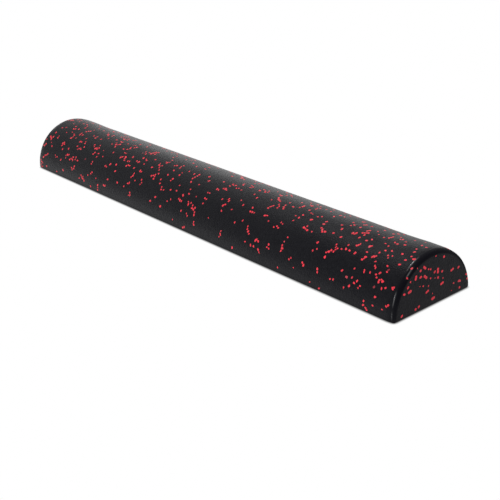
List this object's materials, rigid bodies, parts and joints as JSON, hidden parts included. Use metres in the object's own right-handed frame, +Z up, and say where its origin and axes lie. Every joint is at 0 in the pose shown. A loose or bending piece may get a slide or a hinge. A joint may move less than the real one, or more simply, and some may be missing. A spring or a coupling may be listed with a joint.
{
  "type": "half round foam roller",
  "caption": "Long half round exercise roller moulded from black bead foam, flat below and domed above, with red beads fused into its skin.",
  "frame": {"origin": "middle of the flat side that the roller lies on", "axes": "+X along the roller towards the end nearest the camera in the picture, +Y across it, +Z up from the flat side to the crown"},
  "size_m": [0.9144, 0.1522, 0.0762],
  "materials": {
    "black_foam": "satin",
    "red_bead": "satin"
  },
  "bodies": {
    "root": {"foam_body": "black_foam", "right_end_bead_01": "red_bead", "right_end_bead_02": "red_bead", "right_end_bead_03": "red_bead", "right_end_bead_04": "red_bead", "right_end_bead_05": "red_bead", "right_end_bead_06": "red_bead", "right_end_bead_07": "red_bead", "right_end_bead_08": "red_bead", "right_end_bead_09": "red_bead", "right_end_bead_10": "red_bead", "right_end_bead_11": "red_bead", "right_end_bead_12": "red_bead", "right_end_bead_13": "red_bead", "right_end_bead_14": "red_bead", "right_end_bead_15": "red_bead", "right_end_bead_16": "red_bead", "right_end_bead_17": "red_bead", "right_end_bead_18": "red_bead", "right_end_bead_19": "red_bead", "right_end_bead_20": "red_bead", "right_end_bead_21": "red_bead", "right_end_bead_22": "red_bead", "right_end_bead_23": "red_bead", "right_end_bead_24": "red_bead", "right_end_bead_25": "red_bead", "right_end_bead_26": "red_bead", "right_end_bead_27": "red_bead", "right_end_bead_28": "red_bead", "right_end_bead_29": "red_bead", "left_end_bead_01": "red_bead", "left_end_bead_02": "red_bead", "left_end_bead_03": "red_bead", "left_end_bead_04": "red_bead", "left_end_bead_05": "red_bead", "left_end_bead_06": "red_bead", "left_end_bead_07": "red_bead", "left_end_bead_08": "red_bead", "left_end_bead_09": "red_bead", "left_end_bead_10": "red_bead", "left_end_bead_11": "red_bead", "left_end_bead_12": "red_bead", "left_end_bead_13": "red_bead", "left_end_bead_14": "red_bead", "left_end_bead_15": "red_bead", "left_end_bead_16": "red_bead", "left_end_bead_17": "red_bead", "left_end_bead_18": "red_bead", "left_end_bead_19": "red_bead", "left_end_bead_20": "red_bead", "left_end_bead_21": "red_bead", "left_end_bead_22": "red_bead", "left_end_bead_23": "red_bead", "left_end_bead_24": "red_bead", "left_end_bead_25": "red_bead", "left_end_bead_26": "red_bead", "left_end_bead_27": "red_bead", "left_end_bead_28": "red_bead", "left_end_bead_29": "red_bead"}
  },
  "joints": []
}
